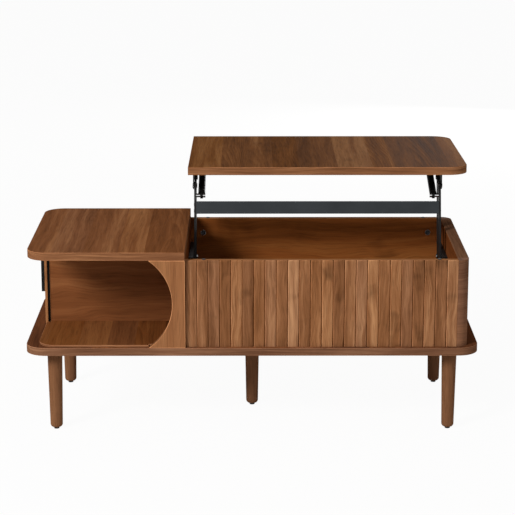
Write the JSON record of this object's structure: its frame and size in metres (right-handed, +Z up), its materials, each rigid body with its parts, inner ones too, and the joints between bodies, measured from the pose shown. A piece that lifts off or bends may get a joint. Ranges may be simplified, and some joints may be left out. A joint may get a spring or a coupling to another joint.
{
  "type": "lift top coffee table",
  "caption": "Coffee table with a fixed side top over an open shelf and end drawer, a lid that lifts up and back on folding arms over a slatted storage box, and round tapered legs.",
  "frame": {"origin": "on the floor under the centre leg, the middle of the base board", "axes": "+X to the lid's end, along the table's length; +Y to the back, the way the lid moves as it rises; +Z up"},
  "size_m": [1.104, 0.7552, 0.62],
  "materials": {
    "walnut_board": "satin lacquered walnut veneer",
    "walnut_shelf": "satin lacquered walnut veneer",
    "walnut_arch": "satin lacquered walnut veneer, upright grain",
    "walnut_slats": "satin lacquered walnut strips",
    "solid_walnut": "satin lacquered solid wood",
    "black_steel": "black powder coat",
    "grey_steel": "grey satin coat",
    "black_lacquer": "black lacquer",
    "drawer_wood": "satin lacquered board",
    "zinc_steel": "zinc plated",
    "chromed_rod": "polished",
    "beech": "raw",
    "black_rubber": "matte",
    "black_plastic": "matte"
  },
  "bodies": {
    "root": {"base_board": "walnut_board", "side_top": "walnut_board", "divider_panel": "walnut_board", "drawer_bay_back": "walnut_board", "box_back_panel": "walnut_board", "box_side_panel": "walnut_board", "corner_post_front": "walnut_board", "corner_post_rear": "walnut_board", "slat_backer": "walnut_board", "shelf_partition": "walnut_shelf", "shelf_liner": "walnut_shelf", "arch_panel": "walnut_arch", "front_slats": "walnut_slats", "leg_front_left": "solid_walnut", "leg_front_right": "solid_walnut", "leg_rear_left": "solid_walnut", "leg_rear_right": "solid_walnut", "leg_centre": "solid_walnut", "wall_bracket_left": "black_steel", "wall_bracket_right": "black_steel", "wall_pivot_studs": "zinc_steel", "wall_spacers": "zinc_steel", "bracket_screws": "zinc_steel", "assembly_screws": "zinc_steel", "cam_locks": "zinc_steel", "cam_dowels": "zinc_steel", "leg_bolts": "zinc_steel", "leg_inserts": "zinc_steel", "runner_channels": "zinc_steel", "wood_dowels": "beech", "lid_bumpers": "black_rubber", "foot_glides": "black_plastic"},
    "front_arms": {"front_arm_left": "black_steel", "front_arm_right": "black_steel", "crossbar": "grey_steel", "crossbar_rivets": "zinc_steel", "strut_pins": "zinc_steel"},
    "rear_arms": {"rear_arm_left": "black_steel", "rear_arm_right": "black_steel"},
    "lid": {"lid_board": "walnut_board", "lid_bracket_left": "black_steel", "lid_bracket_right": "black_steel", "lid_screws": "zinc_steel", "upper_pivot_bolts": "zinc_steel", "upper_pivot_nuts": "zinc_steel", "upper_washers": "zinc_steel", "strut_studs": "zinc_steel"},
    "strut_cylinders": {"strut_cylinders": "black_steel"},
    "strut_rods": {"strut_rods": "chromed_rod"},
    "drawer": {"drawer_facing": "walnut_board", "drawer_front": "black_lacquer", "drawer_side_front": "drawer_wood", "drawer_side_rear": "drawer_wood", "drawer_back": "drawer_wood", "drawer_bottom": "drawer_wood", "drawer_handle": "black_steel", "handle_screws": "zinc_steel", "runner_bars": "zinc_steel"}
  },
  "joints": [
    {"name": "arm_swing", "type": "hinge", "parent": "root", "child": "front_arms", "pos_m": [0, 0.048, 0.35606], "axis": [1, 0, 0], "range_deg": [0, 93.28]},
    {"name": "rear_arm_swing", "type": "hinge", "parent": "root", "child": "rear_arms", "pos_m": [0, 0.1, 0.36675], "axis": [1, 0, 0], "range_deg": [0, 92.98]},
    {"name": "lid_level", "type": "hinge", "parent": "front_arms", "child": "lid", "pos_m": [0, 0.10134, 0.554], "axis": [1, 0, 0], "range_deg": [-92.08, 0]},
    {"name": "strut_swing", "type": "hinge", "parent": "front_arms", "child": "strut_cylinders", "pos_m": [0, 0.0947, 0.52938], "axis": [1, 0, 0], "range_deg": [-95.5, 0]},
    {"name": "strut_stroke", "type": "slide", "parent": "strut_cylinders", "child": "strut_rods", "axis": [0, 0.9483, 0.3175], "range_m": [-0.03562, 0]},
    {"name": "drawer_slide", "type": "slide", "parent": "root", "child": "drawer", "axis": [-1, 0, 0], "range_m": [0, 0.24]}
  ],
  "couplings": [
    {"joint": "rear_arm_swing", "follows": "arm_swing", "ratio": 0.99669},
    {"joint": "lid_level", "follows": "arm_swing", "ratio": -0.98713},
    {"joint": "strut_swing", "follows": "arm_swing", "ratio": -1.0238},
    {"joint": "strut_stroke", "follows": "arm_swing", "m_per_rad": -0.021874}
  ]
}
